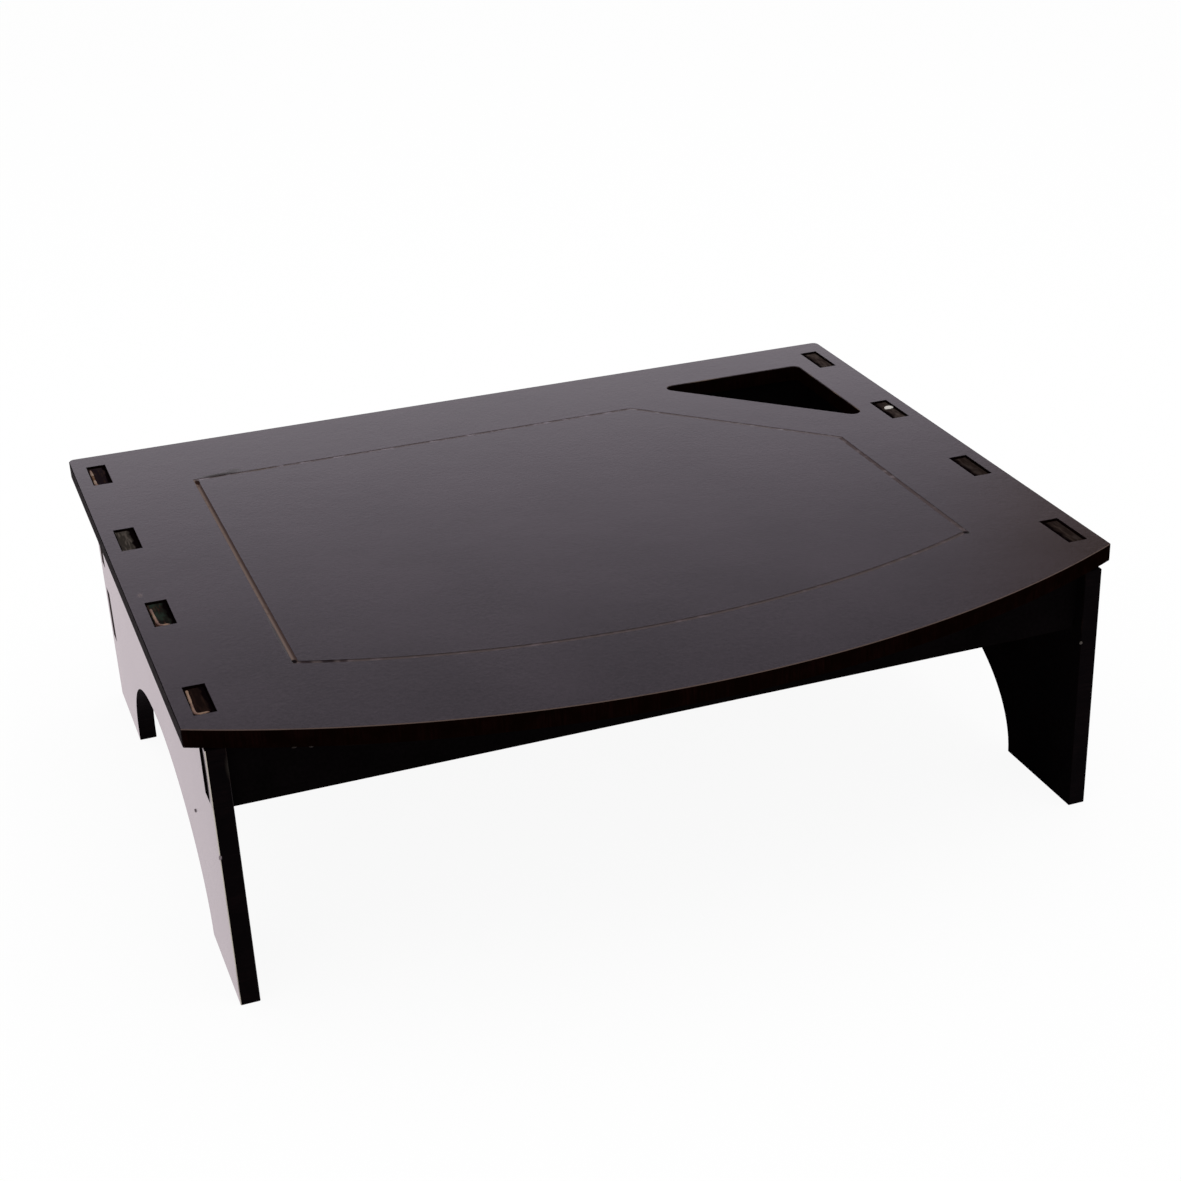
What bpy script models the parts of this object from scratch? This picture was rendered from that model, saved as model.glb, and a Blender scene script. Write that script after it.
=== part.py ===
"""A slot-together monitor stand, cut from one thickness of dark-faced fibreboard.

A top board with a bowed front stands on two arched side panels, whose tabs come up through its slots.
A front rail drops into notches at the panels' front corners, and a rear panel tabs into mortises near
their back edges. Nothing moves and there is no fastener: the joints hold by their fit.

Metres, +X to the right, -Y towards the user, +Z up. The origin lies on the desk, under the middle of
the outline. Plan positions are worked out from the line between the board's two front corners.
"""

import math

import bmesh
import bpy
from mathutils import Vector

# Sheet and joints
SHEET = 0.008  # thickness of the sheet that every piece is cut from
FIT_GAP = 0.0003  # clear space round a tab in its slot, and under a piece that rests
ARRIS = 0.0003  # flat left along a cut edge by cleaning it up
OVERRUN = 0.002  # how far a cutter passes the faces that it goes through

# Whole stand
BOARD_WIDTH = 0.400
SIDE_DEPTH = 0.295  # the board's straight sides, from front corner to back edge
FRONT_BOW = 0.047  # how far the front edge swells past its corners
STAND_HEIGHT = 0.1245
SIDE_OVERHANG = 0.007  # board edge to the outer face of a side panel
REAR_OVERHANG = 0.0095  # board's back edge to the side panels' back edges
REAR_CORNER_RADIUS = 0.003

# Tabs of the side panels and their slots in the board
TAB_COUNT = 4
TAB_LENGTH = 0.0238
LAST_TAB_MARGIN = 0.0046  # last tab to the panel's back edge
TAB_RECESS = 0.001  # how far a tab's end stays below the face that it comes up to

# Cable hole, a right-angled triangle behind the right-hand corner of the scored line
HOLE_SIDE_MARGIN = 0.025
HOLE_REAR_MARGIN = 0.0295
HOLE_WIDTH = 0.0805
HOLE_DEPTH = 0.0835
HOLE_CORNER_RADIUS = 0.004

# Scored line on the board's top face
SCORE_WIDTH = 0.0022
SCORE_DEPTH = 0.0003
SCORE_LEFT_INSET = 0.0521
SCORE_RIGHT_INSET = 0.0499
SCORE_REAR_INSET = 0.0521
SCORE_FRONT_INSET = 0.0545  # from the bowed front edge
SCORE_HOLE_GAP = 0.0316  # from the long side of the cable hole

# Side panels
FOOT_LENGTH = 0.0545
ARCH_HEIGHT = 0.057
EDGE_MARGIN = 0.0058  # panel left between a mortise or notch and the edge beside it

# Front rail
RAIL_HEIGHT = 0.0295
RAIL_TAB_HEIGHT = 0.025

# Rear panel
REAR_HEIGHT = 0.095
REAR_TAB_COUNT = 2
REAR_TAB_HEIGHT = 0.025

# Fineness of the round edges
BOW_STEPS = 72
ARCH_STEPS = 48
CORNER_STEPS = 8
SMOOTH_ANGLE = math.radians(30)
WELD_DISTANCE = 0.00001
FLAT_ANGLE = math.radians(0.1)

# Colours, as linear red, green and blue
FILM_COLOUR = (0.052, 0.042, 0.044)
PANEL_COLOUR = (0.058, 0.047, 0.049)
CROSSPIECE_COLOUR = (0.040, 0.032, 0.033)
FILM_ROUGHNESS = 0.38

# Places shared by several pieces
FRONT_LINE = (FRONT_BOW - SIDE_DEPTH) / 2
HALF_WIDTH = BOARD_WIDTH / 2
BOARD_UNDERSIDE = STAND_HEIGHT - SHEET
SUPPORT_TOP = BOARD_UNDERSIDE - FIT_GAP
SLOT_WIDTH = SHEET + 2 * FIT_GAP
PANEL_OUTER = HALF_WIDTH - SIDE_OVERHANG
PANEL_CENTRE = PANEL_OUTER - SHEET / 2
PANEL_INNER = PANEL_OUTER - SHEET
SHOULDER = PANEL_INNER - FIT_GAP
RAIL_END = PANEL_OUTER - TAB_RECESS
BOW_RADIUS = (HALF_WIDTH**2 + FRONT_BOW**2) / (2 * FRONT_BOW)
BOW_CENTRE = BOW_RADIUS - FRONT_BOW


def bow_depth(x, radius):
    """Distance behind the front corners, at x, of a circle of this radius round the bow's centre."""
    return BOW_CENTRE - math.sqrt(radius**2 - x**2)


PANEL_FRONT = bow_depth(PANEL_CENTRE, BOW_RADIUS)
PANEL_REAR = SIDE_DEPTH - REAR_OVERHANG
NOTCH_FRONT = PANEL_FRONT + EDGE_MARGIN
NOTCH_REAR = NOTCH_FRONT + SLOT_WIDTH
MORTISE_REAR = PANEL_REAR - EDGE_MARGIN
MORTISE_FRONT = MORTISE_REAR - SLOT_WIDTH
LAST_TAB_START = PANEL_REAR - LAST_TAB_MARGIN - TAB_LENGTH
TAB_PITCH = (LAST_TAB_START - NOTCH_REAR) / (TAB_COUNT - 1)
REAR_TAB_SPACE = (REAR_HEIGHT - REAR_TAB_COUNT * REAR_TAB_HEIGHT) / (REAR_TAB_COUNT + 1)
REAR_BOTTOM = SUPPORT_TOP - REAR_HEIGHT
RAIL_BOTTOM = SUPPORT_TOP - RAIL_HEIGHT
RAIL_TAB_BOTTOM = SUPPORT_TOP - RAIL_TAB_HEIGHT


def tab_spans():
    """Front and back of each tab along a side panel. The first tab rises from the notch's back wall."""
    starts = [NOTCH_REAR + TAB_PITCH * index for index in range(TAB_COUNT)]
    return [(start, start + TAB_LENGTH) for start in starts]


def rear_tab_spans():
    """Bottom and top of each tab at one end of the rear panel, evenly spaced up its height."""
    step = REAR_TAB_HEIGHT + REAR_TAB_SPACE
    bottoms = [REAR_BOTTOM + REAR_TAB_SPACE + step * index for index in range(REAR_TAB_COUNT)]
    return [(bottom, bottom + REAR_TAB_HEIGHT) for bottom in bottoms]


def rectangle(x_low, x_high, y_low, y_high):
    """The four corners of a rectangle, going round it once."""
    return [Vector(p) for p in ((x_low, y_low), (x_high, y_low), (x_high, y_high), (x_low, y_high))]


def arc(centre, radius_x, radius_y, start, end, steps):
    """Points along a stretch of an ellipse, both ends included, from one angle to the other."""
    points = []
    for step in range(steps + 1):
        angle = start + (end - start) * step / steps
        points.append(centre + Vector((radius_x * math.cos(angle), radius_y * math.sin(angle))))
    return points


def rounded_corner(before, corner, after, radius):
    """The arc that rounds a corner between two straight edges."""
    back = (before - corner).normalized()
    ahead = (after - corner).normalized()
    half_angle = back.angle(ahead) / 2
    centre = corner + (back + ahead).normalized() * (radius / math.sin(half_angle))
    reach = radius / math.tan(half_angle)
    first = corner + back * reach - centre
    last = corner + ahead * reach - centre
    start = math.atan2(first.y, first.x)
    turn = math.atan2(last.y, last.x) - start
    turn = math.remainder(turn, math.tau)
    return arc(centre, radius, radius, start, start + turn, CORNER_STEPS)


def bow_arc(radius, left, right):
    """The arc of this radius round the bow's centre, from this far out on the left to this far out on
    the right."""
    middle = -math.pi / 2
    start = middle - math.asin(left / radius)
    end = middle + math.asin(right / radius)
    return arc(Vector((0, BOW_CENTRE)), radius, radius, start, end, BOW_STEPS)


def board_outline():
    """The bowed front edge, the straight sides and the back edge with its rounded corners."""
    front = bow_arc(BOW_RADIUS, HALF_WIDTH, HALF_WIDTH)
    back_right = Vector((HALF_WIDTH, SIDE_DEPTH))
    back_left = Vector((-HALF_WIDTH, SIDE_DEPTH))
    right_corner = rounded_corner(front[-1], back_right, back_left, REAR_CORNER_RADIUS)
    left_corner = rounded_corner(back_right, back_left, front[0], REAR_CORNER_RADIUS)
    return front + right_corner + left_corner


def slot_outlines():
    """One slot in the board for each tab of the two side panels."""
    slots = []
    for side in (-1, 1):
        middle = side * PANEL_CENTRE
        for front, back in tab_spans():
            x_span = (middle - SLOT_WIDTH / 2, middle + SLOT_WIDTH / 2)
            slots.append(rectangle(*x_span, front - FIT_GAP, back + FIT_GAP))
    return slots


def hole_corners():
    """The cable hole's left tip, its front tip and its square corner, before they are rounded."""
    right = HALF_WIDTH - HOLE_SIDE_MARGIN
    back = SIDE_DEPTH - HOLE_REAR_MARGIN
    return Vector((right - HOLE_WIDTH, back)), Vector((right, back - HOLE_DEPTH)), Vector((right, back))


def hole_outline():
    """The cable hole with its rounded corners."""
    corners = hole_corners()
    outline = []
    for index, corner in enumerate(corners):
        before = corners[index - 1]
        after = corners[(index + 1) % len(corners)]
        outline += rounded_corner(before, corner, after, HOLE_CORNER_RADIUS)
    return outline


def score_outline(inward):
    """The scored line's path, moved inwards by this much: parallel to the board's edges, with one
    corner cut off parallel to the long side of the cable hole."""
    left = HALF_WIDTH - SCORE_LEFT_INSET - inward
    right = HALF_WIDTH - SCORE_RIGHT_INSET - inward
    back = SIDE_DEPTH - SCORE_REAR_INSET - inward
    left_tip, front_tip, square = hole_corners()
    towards_hole = Vector((HOLE_DEPTH, HOLE_WIDTH)).normalized()
    level = towards_hole.dot(left_tip) - SCORE_HOLE_GAP - inward
    cut_on_side = Vector((right, (level - towards_hole.x * right) / towards_hole.y))
    cut_on_back = Vector(((level - towards_hole.y * back) / towards_hole.x, back))
    front = bow_arc(BOW_RADIUS - SCORE_FRONT_INSET - inward, left, right)
    return front + [cut_on_side, cut_on_back, Vector((-left, back))]


def side_outline():
    """A side panel seen from its right: feet, arch, back edge, tabs, front notch and front edge."""
    arch_rear = PANEL_REAR - FOOT_LENGTH
    arch_front = PANEL_FRONT + FOOT_LENGTH
    arch_centre = Vector(((arch_front + arch_rear) / 2, 0))
    half_span = (arch_rear - arch_front) / 2
    outline = [Vector((PANEL_FRONT, 0))]
    outline += arc(arch_centre, half_span, ARCH_HEIGHT, math.pi, 0, ARCH_STEPS)
    outline += [Vector((PANEL_REAR, 0)), Vector((PANEL_REAR, SUPPORT_TOP))]
    tab_top = STAND_HEIGHT - TAB_RECESS
    notch_floor = RAIL_TAB_BOTTOM - FIT_GAP
    for front, back in reversed(tab_spans()):
        outline += [Vector((back, SUPPORT_TOP)), Vector((back, tab_top)), Vector((front, tab_top))]
        outline.append(Vector((front, SUPPORT_TOP if front > NOTCH_REAR else notch_floor)))
    outline += [Vector((NOTCH_FRONT, notch_floor)), Vector((NOTCH_FRONT, SUPPORT_TOP))]
    outline.append(Vector((PANEL_FRONT, SUPPORT_TOP)))
    return outline


def mortise_outlines():
    """The rear panel's mortises through a side panel."""
    span = (MORTISE_FRONT, MORTISE_REAR)
    return [rectangle(*span, low - FIT_GAP, high + FIT_GAP) for low, high in rear_tab_spans()]


def both_ends(right_end):
    """The outline of a crosspiece from the outline of its right end, given from bottom to top."""
    return right_end + [Vector((-point.x, point.y)) for point in reversed(right_end)]


def rail_outline():
    """The front rail from the front: a tab at the top of each end, over a shoulder."""
    right_end = [Vector((SHOULDER, RAIL_BOTTOM)), Vector((SHOULDER, RAIL_TAB_BOTTOM))]
    right_end += [Vector((RAIL_END, RAIL_TAB_BOTTOM)), Vector((RAIL_END, SUPPORT_TOP))]
    return both_ends(right_end)


def rear_outline():
    """The rear panel from the front, with its row of tabs up each end."""
    right_end = [Vector((SHOULDER, REAR_BOTTOM))]
    for low, high in rear_tab_spans():
        right_end += [Vector((SHOULDER, low)), Vector((PANEL_OUTER, low))]
        right_end += [Vector((PANEL_OUTER, high)), Vector((SHOULDER, high))]
    right_end.append(Vector((SHOULDER, SUPPORT_TOP)))
    return both_ends(right_end)


def clear_scene():
    """Removes every object and collection that the file opened with."""
    for obj in list(bpy.data.objects):
        bpy.data.objects.remove(obj)
    for collection in list(bpy.data.collections):
        bpy.data.collections.remove(collection)


def new_collection(name):
    """A collection linked to the scene."""
    collection = bpy.data.collections.new(name)
    bpy.context.scene.collection.children.link(collection)
    return collection


def film_material(name, colour):
    """The dark film that faces the fibreboard."""
    material = bpy.data.materials.new(name)
    material.use_nodes = True
    shader = material.node_tree.nodes["Principled BSDF"]
    shader.inputs["Base Color"].default_value = (*colour, 1)
    shader.inputs["Roughness"].default_value = FILM_ROUGHNESS
    shader.inputs["Metallic"].default_value = 0
    material.diffuse_color = (*colour, 1)
    return material


def sheet_from_outlines(name, outlines, thickness, collection, location, rotation):
    """A flat piece: the first outline, less the others, with its mid-plane at the location.

    It is drawn as a filled 2D curve, extruded to the thickness and made a welded mesh.
    """
    curve = bpy.data.curves.new(name + "_outline", "CURVE")
    curve.dimensions = "2D"
    curve.fill_mode = "BOTH"
    curve.extrude = thickness / 2
    for outline in outlines:
        spline = curve.splines.new("POLY")
        spline.points.add(len(outline) - 1)
        spline.use_cyclic_u = True
        for point, place in zip(spline.points, outline):
            point.co = (place.x, place.y, 0, 1)
    drawn = bpy.data.objects.new(name + "_outline", curve)
    drawn.location = location
    drawn.rotation_euler = rotation
    collection.objects.link(drawn)
    bpy.context.view_layer.update()
    graph = bpy.context.evaluated_depsgraph_get()
    mesh = bpy.data.meshes.new_from_object(drawn.evaluated_get(graph))
    mesh.name = name
    weld(mesh)
    piece = bpy.data.objects.new(name, mesh)
    piece.matrix_world = drawn.matrix_world
    bpy.data.objects.remove(drawn)
    collection.objects.link(piece)
    return piece


def weld(mesh):
    """Joins the loose caps to the walls, clears the needless edges in the caps, and faces all outwards."""
    work = bmesh.new()
    work.from_mesh(mesh)
    bmesh.ops.remove_doubles(work, verts=work.verts, dist=WELD_DISTANCE)
    bmesh.ops.dissolve_limit(work, angle_limit=FLAT_ANGLE, verts=work.verts, edges=work.edges)
    bmesh.ops.recalc_face_normals(work, faces=work.faces)
    work.to_mesh(mesh)
    work.free()


def finish_piece(piece, parent, material):
    """Takes the arrises off, shades the curves smooth, and hangs the piece on the stand's datum."""
    bevel = piece.modifiers.new("arris", "BEVEL")
    bevel.width = ARRIS
    bevel.segments = 1
    bevel.limit_method = "ANGLE"
    bevel.angle_limit = SMOOTH_ANGLE
    piece.data.shade_smooth()
    piece.data.set_sharp_from_angle(angle=SMOOTH_ANGLE)
    piece.data.materials.clear()
    piece.data.materials.append(material)
    piece.parent = parent


def cut(piece, name, outlines, depth, cutters, middle):
    """Cuts these flat outlines out of the piece, with a cutter of this depth centred at the middle."""
    cutter = sheet_from_outlines(name + "_cutter", outlines, depth, cutters, middle, (0, 0, 0))
    cutter.parent = piece.parent
    cutter.hide_render = True
    cutter.display_type = "WIRE"
    boolean = piece.modifiers.new(name, "BOOLEAN")
    boolean.operation = "DIFFERENCE"
    boolean.solver = "EXACT"
    boolean.object = cutter


def make_board(collection, cutters, datum):
    """The top board: bowed front, slots and cable hole, and then the line scored into its top face."""
    middle = Vector((0, 0, STAND_HEIGHT - SHEET / 2))
    board = sheet_from_outlines("top_board", [board_outline()], SHEET, collection, middle, (0, 0, 0))
    board.parent = datum
    cut(board, "openings", [hole_outline(), *slot_outlines()], SHEET + 2 * OVERRUN, cutters, middle)
    finish_piece(board, datum, film_material("top board film", FILM_COLOUR))
    rings = [score_outline(-SCORE_WIDTH / 2), score_outline(SCORE_WIDTH / 2)]
    cut(board, "scored_line", rings, 2 * SCORE_DEPTH, cutters, Vector((0, 0, STAND_HEIGHT)))


def make_side_panels(collection, datum):
    """The two side panels, alike and standing on edge."""
    material = film_material("side panel film", PANEL_COLOUR)
    outlines = [side_outline(), *mortise_outlines()]
    upright = (math.pi / 2, 0, math.pi / 2)
    for name, side in (("left_side_panel", -1), ("right_side_panel", 1)):
        middle = Vector((side * PANEL_CENTRE, 0, 0))
        panel = sheet_from_outlines(name, outlines, SHEET, collection, middle, upright)
        finish_piece(panel, datum, material)


def make_crosspiece(name, outline, depth, collection, datum):
    """A piece on edge between the side panels, with its mid-plane this far behind the front corners."""
    middle = Vector((0, depth, 0))
    upright = (math.pi / 2, 0, 0)
    piece = sheet_from_outlines(name, [outline], SHEET, collection, middle, upright)
    finish_piece(piece, datum, film_material(name + " film", CROSSPIECE_COLOUR))


def main():
    """Builds the stand's five pieces."""
    clear_scene()
    stand = new_collection("monitor_stand")
    cutters = new_collection("cutters")
    datum = bpy.data.objects.new("front_corner_line", None)
    datum.location = (0, FRONT_LINE, 0)
    stand.objects.link(datum)
    make_board(stand, cutters, datum)
    make_side_panels(stand, datum)
    make_crosspiece("front_rail", rail_outline(), (NOTCH_FRONT + NOTCH_REAR) / 2, stand, datum)
    make_crosspiece("rear_panel", rear_outline(), (MORTISE_FRONT + MORTISE_REAR) / 2, stand, datum)
    bpy.context.view_layer.update()


main()
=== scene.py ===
"""Looks of the slotted monitor stand: its finishes, the marks of laser cutting, the studio and the camera.

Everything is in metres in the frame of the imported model: the floor is z = 0, the bowed front faces -y.
Sizes written in millimetres carry _mm in their names or pass through mm().
"""

import logging
import math
from dataclasses import dataclass, field
from enum import Enum
from functools import cache

import bmesh
import bpy
from mathutils import Matrix, Vector, noise


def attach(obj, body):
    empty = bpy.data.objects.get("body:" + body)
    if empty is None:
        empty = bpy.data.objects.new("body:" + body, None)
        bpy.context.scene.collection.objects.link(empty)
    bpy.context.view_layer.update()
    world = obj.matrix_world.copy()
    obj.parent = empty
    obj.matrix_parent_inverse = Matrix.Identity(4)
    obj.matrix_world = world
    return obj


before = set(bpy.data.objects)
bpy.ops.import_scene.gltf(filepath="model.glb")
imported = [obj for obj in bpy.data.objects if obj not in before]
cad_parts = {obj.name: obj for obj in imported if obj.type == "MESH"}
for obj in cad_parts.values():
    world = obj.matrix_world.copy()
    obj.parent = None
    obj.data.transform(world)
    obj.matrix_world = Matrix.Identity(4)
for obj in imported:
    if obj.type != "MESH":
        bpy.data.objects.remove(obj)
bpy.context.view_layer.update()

LOG = logging.getLogger("monitor_stand")
IMAGE_SIDE = 1181
BODY = "root"
MM_PER_METRE = 1000.0

Pair = tuple[float, float]
Triple = tuple[float, float, float]
Linear = tuple[float, float, float, float]
Tree = bpy.types.NodeTree
Node = bpy.types.Node
Socket = bpy.types.NodeSocket
Colour = str | Linear | Socket
Level = float | Node | Socket

# A unit normal's part along an axis: on a face square to the axis, and on one that slants at all.
SQUARE = 0.95
SLANT = 0.05
SHARP_FROM_DEGREES = 50.0


def mm(*values: float) -> float | tuple[float, ...]:
    """Turns millimetres into metres, one number or several."""
    metres = tuple(value / MM_PER_METRE for value in values)
    return metres[0] if len(metres) == 1 else metres


def linear(code: str) -> Linear:
    """Turns an sRGB colour into Blender's linear one.

    Args:
        code: six hex digits, with or without the leading hash.

    Returns:
        Linear red, green and blue, with an alpha of 1.
    """
    digits = code.lstrip("#")
    parts = [int(digits[at:at + 2], 16) / 255.0 for at in (0, 2, 4)]
    red, green, blue = (
        part / 12.92 if part <= 0.04045 else ((part + 0.055) / 1.055) ** 2.4 for part in parts
    )
    return red, green, blue, 1.0


def per_feature(size_mm: float) -> float:
    """Texture scale at which one feature of a noise measures size_mm on the object."""
    return MM_PER_METRE / size_mm


def add_node(tree: Tree, kind: str, settings: dict[str | int, object] | None = None) -> Node:
    """Adds one shader node to a tree.

    Args:
        tree: the node tree that gets the node.
        kind: the node's type name, without its ShaderNode start.
        settings: the node's properties by name, and its inputs by name or index. An input takes a
            value, an output socket, or a node for its first output.

    Returns:
        The new node.
    """
    node = tree.nodes.new("ShaderNode" + kind)
    for key, value in (settings or {}).items():
        source = value.outputs[0] if isinstance(value, Node) else value
        if isinstance(source, Socket):
            tree.links.new(source, node.inputs[key])
        elif isinstance(key, str) and hasattr(node, key):
            setattr(node, key, value)
        else:
            node.inputs[key].default_value = value
    return node


def blend(tree: Tree, share: Node | Socket, low: Colour, high: Colour) -> Socket:
    """Mixes two colours, each an sRGB hex code, a linear colour or a socket, into a new socket."""
    low, high = (linear(colour) if isinstance(colour, str) else colour for colour in (low, high))
    return add_node(tree, "Mix", {"data_type": "RGBA", 0: share, 6: low, 7: high}).outputs[2]


def mix_levels(tree: Tree, share: Level, low: Level, high: Level) -> Node:
    """Mixes two levels; each of them, and the share of the second, is a number, a node or a socket."""
    return add_node(tree, "Mix", {"data_type": "FLOAT", 0: share, 2: low, 3: high})


def reckon(tree: Tree, operation: str, *levels: Level) -> Node:
    """Adds an operation on one to three levels, each of them a number, a node or a socket."""
    return add_node(tree, "Math", {"operation": operation, **dict(enumerate(levels))})


def ramp(tree: Tree, level: Node | Socket, start: float, end: float) -> Node:
    """Adds a rise from 0 to 1 while the level goes from start to end, flat before and after."""
    return add_node(tree, "MapRange", {0: level, 1: start, 2: end})


def cleared(owner: bpy.types.Material | bpy.types.World) -> Tree:
    """Turns on the nodes of a material or world, and takes out those that it starts with."""
    owner.use_nodes = True
    owner.node_tree.nodes.clear()
    return owner.node_tree


def placed(name: str, data: bpy.types.ID) -> bpy.types.Object:
    """Makes an object of a mesh, a light or a camera, and puts it in the scene."""
    made = bpy.data.objects.new(name, data)
    bpy.context.scene.collection.objects.link(made)
    return made


class Axis(Enum):
    """The axis along which a board's thickness runs; laser striations follow it."""

    X = 0
    Y = 1
    Z = 2


class Zone(Enum):
    """Kinds of surface on the boards."""

    FILM = "film"
    BACK = "back"
    EDGE = "edge"
    TAB_END = "tab end"
    ARRIS = "arris"
    FRONT_ARRIS = "front arris"
    INNER_FRONT_ARRIS = "inner front arris"
    INNER_CUT = "inner cut"
    HOLE_ARRIS = "hole arris"
    LINE_LEFT = "line left"
    LINE_FRONT = "line front"
    LINE_RIGHT = "line right"
    LINE_CORNER = "line corner"
    LINE_BACK = "line back"


@dataclass(frozen=True)
class Mark:
    """One spot of scorch, chipping or dirt: an ellipsoid on the stand, soft at its rim."""

    centre_mm: Triple
    reach_mm: Triple
    colour: str
    cover: float = 1.0
    dull: float = 0.0
    soft: float = 0.65


@dataclass(frozen=True)
class Finish:
    """What the finishes share: a name, marks, and one material made from the finish's own pattern."""

    name: str
    marks: tuple[Mark, ...] = field(default=(), kw_only=True)

    ROUGH = (0.5, 0.5)
    SHIFT_SHARES = (1.0, 0.7, -1.0)

    def pattern(self, tree: Tree) -> Node:
        """Builds the nodes of the finish and returns its shader node."""
        raise NotImplementedError

    def material(self) -> bpy.types.Material:
        """Makes the material of this finish."""
        made = bpy.data.materials.new(self.name)
        tree = cleared(made)
        add_node(tree, "OutputMaterial", {"Surface": self.pattern(tree)})
        return made

    def place(self, tree: Tree) -> Socket:
        """Adds the position on the object, in metres, and returns its socket."""
        return add_node(tree, "TexCoord").outputs["Object"]

    def patches(
        self,
        tree: Tree,
        size_mm: float,
        start: float = 0.3,
        soft: float = 0.4,
        detail: float = 2.0,
        stretch: Triple = (1.0, 1.0, 1.0),
        shift: float = 0.0,
    ) -> Node:
        """Adds a mask of soft-edged patches.

        Args:
            tree: the material's node tree.
            size_mm: how far apart the patches lie.
            start: the noise level at which a patch begins, 0.3 where about half is covered.
            soft: how much more the noise must rise until the patch is whole.
            detail: how ragged the patches are.
            stretch: the pattern's scale along each axis, less than 1 where patches are long.
            shift: moves the pattern, so that two of one size differ.

        Returns:
            The node whose output is 0 between the patches and 1 on them.
        """
        scale = [per_feature(size_mm) * share for share in stretch]
        offset = [shift * share for share in self.SHIFT_SHARES]
        drawn = add_node(
            tree, "VectorMath", {"operation": "MULTIPLY_ADD", 0: self.place(tree), 1: scale, 2: offset}
        )
        cloud = add_node(tree, "TexNoise", {"Scale": 1.0, "Detail": detail, "Vector": drawn})
        return ramp(tree, cloud, start, start + soft)

    def bump(self, tree: Tree, height: Node, depth_mm: float, strength: float = 0.5, **under: Node) -> Node:
        """Adds a bump of a height's pattern, over the bump given as Normal where there is one."""
        settings = {"Strength": strength, "Distance": mm(depth_mm), "Height": height}
        return add_node(tree, "Bump", {**settings, **under})

    def surface(
        self, tree: Tree, colour: Socket, share: Node, specular: float, ior: float = 1.5, **relief: Node
    ) -> Node:
        """Adds the shader, with the finish's marks and the bump given as Normal where there is one.

        Args:
            tree: the material's node tree.
            colour: the colour under the marks.
            share: where the roughness lies between the two levels of ROUGH, from 0 to 1.
            specular: the strength of the sheen.
            ior: the index of refraction.
            relief: the bump.

        Returns:
            The shader node.
        """
        low, high = self.ROUGH
        gloss = add_node(tree, "MapRange", {0: share, 3: low, 4: high})
        colour, gloss = self.marked(tree, colour, gloss)
        settings = {"IOR": ior, "Specular IOR Level": specular, "Base Color": colour, "Roughness": gloss}
        return add_node(tree, "BsdfPrincipled", {**settings, **relief})

    def marked(self, tree: Tree, colour: Socket, gloss: Node) -> tuple[Socket, Node]:
        """Lays the finish's marks, in their order, over a colour and a roughness."""
        for mark in self.marks:
            away = self.place(tree)
            for step in (
                {"operation": "SUBTRACT", 1: mm(*mark.centre_mm)},
                {"operation": "DIVIDE", 1: mm(*mark.reach_mm)},
                {"operation": "LENGTH"},
            ):
                away = add_node(tree, "VectorMath", {**step, 0: away})
            cover = add_node(tree, "MapRange", {
                "interpolation_type": "SMOOTHSTEP",
                0: away.outputs["Value"], 1: 1.0 - mark.soft, 2: 1.0, 3: mark.cover, 4: 0.0,
            })
            colour = blend(tree, cover, colour, mark.colour)
            if mark.dull:
                gloss = reckon(tree, "MULTIPLY_ADD", cover, mark.dull, gloss)
        return colour, gloss


@cache
def material_of(finish: Finish) -> bpy.types.Material:
    """The one material of a finish, made when it is first asked for."""
    return finish.material()


@dataclass(frozen=True)
class SatinFilm(Finish):
    """Dark melamine film, hot-pressed onto hardboard with a satin plate.

    To the eye it is a purplish near-black that turns to a soft grey sheen at low angles, with the faint
    orange peel of the press plate and fibres of the board telegraphing through it.
    """

    dark: str = "#151115"
    light: str = "#292228"
    specular: float = 0.5

    ROUGH = (0.14, 0.18)
    PEEL_MM = 2.6
    FIBRE_MM = 1.2
    SAG_MM = 13.0
    CLOUD_MM = 55.0
    CLOUD_SHARE = 0.35
    FIBRE_SHARE = 0.45
    SAG_DEPTH_MM = 0.05
    PEEL_DEPTH_MM = 0.045

    def pattern(self, tree: Tree) -> Node:
        """Builds the film: clouded tone, fibre mottling and orange peel."""
        place = self.place(tree)
        fibre = self.patches(tree, self.FIBRE_MM, detail=3.0)
        cloud = self.patches(tree, self.CLOUD_MM, detail=1.0)
        tone = mix_levels(tree, self.CLOUD_SHARE, fibre, cloud)
        colour = blend(tree, tone, self.dark, self.light)
        peel, sag = (
            add_node(tree, "TexNoise", {"Scale": per_feature(size), "Detail": detail, "Vector": place})
            for size, detail in ((self.PEEL_MM, 1.0), (self.SAG_MM, 2.0))
        )
        relief = mix_levels(tree, self.FIBRE_SHARE, peel, fibre)
        wave = self.bump(tree, sag, self.SAG_DEPTH_MM)
        bump = self.bump(tree, relief, self.PEEL_DEPTH_MM, Normal=wave)
        return self.surface(tree, colour, tone, self.specular, Normal=bump)


@dataclass(frozen=True)
class ShadedMattBack(Finish):
    """Unpolished back of the hardboard, left matt; its near-black is painted shade for the faces inside and
    under the stand.

    To the eye it is a soft near-black that takes hardly any sheen, with a fine screen-pressed tooth.
    """

    dark: str = "#040303"
    light: str = "#0b0809"

    ROUGH = (0.85, 0.95)
    TOOTH_MM = 1.6
    TOOTH_DEPTH_MM = 0.05
    CLOUD_MM = 25.0
    CLOUD_SHARE = 0.5

    def pattern(self, tree: Tree) -> Node:
        """Builds the stained back: cloudy tone and a fine tooth."""
        tooth = self.patches(tree, self.TOOTH_MM, detail=4.0)
        cloud = self.patches(tree, self.CLOUD_MM)
        tone = mix_levels(tree, self.CLOUD_SHARE, tooth, cloud)
        colour = blend(tree, tone, self.dark, self.light)
        bump = self.bump(tree, tooth, self.TOOTH_DEPTH_MM)
        return self.surface(tree, colour, tooth, specular=0.0, Normal=bump)


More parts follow.
